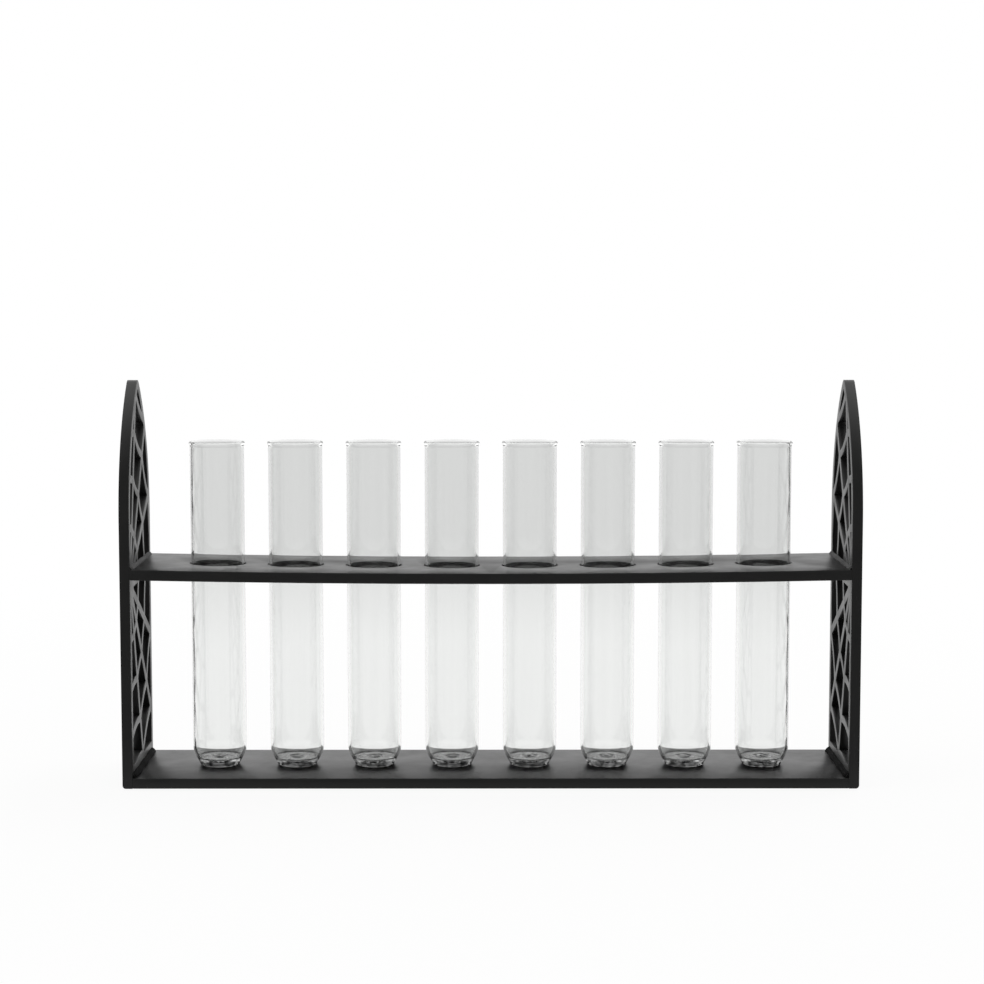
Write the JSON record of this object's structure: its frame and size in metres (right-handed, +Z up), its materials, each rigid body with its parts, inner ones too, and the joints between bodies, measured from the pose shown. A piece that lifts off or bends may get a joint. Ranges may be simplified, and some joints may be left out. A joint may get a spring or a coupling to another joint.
{
  "type": "test tube vase",
  "caption": "Vase of clear glass test tubes held in a row by a black welded metal stand with pierced, pointed-arch end panels.",
  "frame": {"origin": "on the floor, under the middle of the stand", "axes": "+X along the row of tubes, +Y from front to back, +Z up"},
  "size_m": [0.335, 0.0644, 0.1845],
  "materials": {
    "black_paint": "satin black powder coat",
    "clear_glass": "clear and glossy"
  },
  "bodies": {
    "stand": {"left_end_panel": "black_paint", "right_end_panel": "black_paint", "base_plate": "black_paint", "tube_shelf": "black_paint", "base_weld_left": "black_paint", "base_weld_right": "black_paint", "shelf_weld_left": "black_paint", "shelf_weld_right": "black_paint"},
    "tube_1": {"test_tube_1": "clear_glass"},
    "tube_2": {"test_tube_2": "clear_glass"},
    "tube_3": {"test_tube_3": "clear_glass"},
    "tube_4": {"test_tube_4": "clear_glass"},
    "tube_5": {"test_tube_5": "clear_glass"},
    "tube_6": {"test_tube_6": "clear_glass"},
    "tube_7": {"test_tube_7": "clear_glass"},
    "tube_8": {"test_tube_8": "clear_glass"}
  },
  "joints": [
    {"name": "tube_1_lift", "type": "slide", "parent": "stand", "child": "tube_1", "axis": [0, 0, 1], "range_m": [0, 0.19]},
    {"name": "tube_2_lift", "type": "slide", "parent": "stand", "child": "tube_2", "axis": [0, 0, 1], "range_m": [0, 0.19]},
    {"name": "tube_3_lift", "type": "slide", "parent": "stand", "child": "tube_3", "axis": [0, 0, 1], "range_m": [0, 0.19]},
    {"name": "tube_4_lift", "type": "slide", "parent": "stand", "child": "tube_4", "axis": [0, 0, 1], "range_m": [0, 0.19]},
    {"name": "tube_5_lift", "type": "slide", "parent": "stand", "child": "tube_5", "axis": [0, 0, 1], "range_m": [0, 0.19]},
    {"name": "tube_6_lift", "type": "slide", "parent": "stand", "child": "tube_6", "axis": [0, 0, 1], "range_m": [0, 0.19]},
    {"name": "tube_7_lift", "type": "slide", "parent": "stand", "child": "tube_7", "axis": [0, 0, 1], "range_m": [0, 0.19]},
    {"name": "tube_8_lift", "type": "slide", "parent": "stand", "child": "tube_8", "axis": [0, 0, 1], "range_m": [0, 0.19]}
  ]
}
